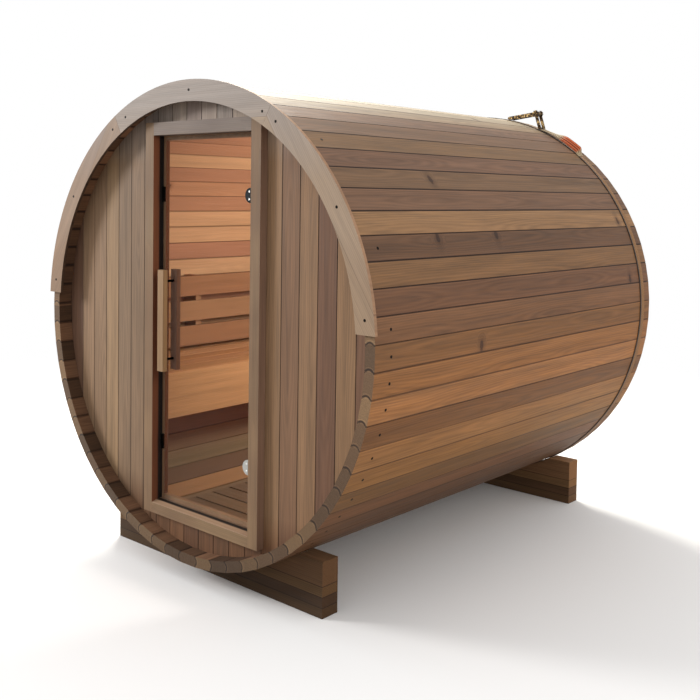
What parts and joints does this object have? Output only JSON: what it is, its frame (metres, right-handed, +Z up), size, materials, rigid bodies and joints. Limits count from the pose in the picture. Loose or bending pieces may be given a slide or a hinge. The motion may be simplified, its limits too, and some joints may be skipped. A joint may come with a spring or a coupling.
{
  "type": "outdoor barrel sauna",
  "caption": "Barrel sauna of bead-and-cove staves on saddle cradles, with an arch, a recessed front wall, an outward glass door, a bench, a backrest and a duckboard floor.",
  "frame": {"origin": "on the ground under the middle of the sauna's box", "axes": "+Z up, +Y to the rear along the barrel, the door faces -Y, +X to the door's right"},
  "size_m": [1.8458, 2.043, 1.9159],
  "materials": {
    "stave_cedar": "oiled, planed",
    "wall_cedar": "planed",
    "frame_cedar": "planed",
    "cabin_cedar": "planed",
    "arch_cedar": "planed",
    "cradle_cedar": "sawn",
    "handle_pale": "sanded",
    "handle_dark": "sanded",
    "door_glass": "clear, tempered",
    "hinge_steel": "satin",
    "dark_steel": "satin",
    "webbing_tan": "woven",
    "webbing_orange": "woven",
    "ratchet_zinc": "zinc plated, yellow"
  },
  "bodies": {
    "sauna": {"cradle_front": "cradle_cedar", "cradle_rear": "cradle_cedar", "arch_left": "arch_cedar", "arch_top": "arch_cedar", "arch_right": "arch_cedar", "front_wall_left": "wall_cedar", "front_wall_right": "wall_cedar", "front_wall_top": "wall_cedar", "front_wall_bottom": "wall_cedar", "rear_wall": "wall_cedar", "door_jamb_left": "frame_cedar", "door_jamb_right": "frame_cedar", "door_head": "frame_cedar", "door_sill": "frame_cedar", "door_stops": "frame_cedar", "jamb_catches": "dark_steel", "hinge_leaves": "hinge_steel", "bench_seat": "cabin_cedar", "bench_apron": "cabin_cedar", "bench_bearers": "cabin_cedar", "backrest_slats": "cabin_cedar", "backrest_posts": "cabin_cedar", "floor_slats": "cabin_cedar", "floor_runners": "cabin_cedar", "strap_band": "webbing_tan", "strap_ratchet": "ratchet_zinc", "strap_tail": "webbing_orange", "stave_panel_01": "stave_cedar", "stave_panel_02": "stave_cedar", "stave_panel_03": "stave_cedar", "stave_panel_04": "stave_cedar", "stave_panel_05": "stave_cedar", "stave_panel_06": "stave_cedar", "stave_panel_07": "stave_cedar", "stave_panel_08": "stave_cedar", "stave_panel_09": "stave_cedar", "stave_panel_10": "stave_cedar", "stave_panel_11": "stave_cedar", "stave_panel_12": "stave_cedar", "stave_panel_13": "stave_cedar"},
    "door": {"door_glass": "door_glass", "hinge_clamps": "hinge_steel", "handle_outer": "handle_pale", "handle_inner": "handle_dark", "handle_bolts": "dark_steel"}
  },
  "joints": [
    {"name": "door_hinge", "type": "hinge", "parent": "sauna", "child": "door", "pos_m": [0.2999, -0.9605, 0.984], "axis": [0, 0, 1], "range_deg": [0, 110]}
  ]
}
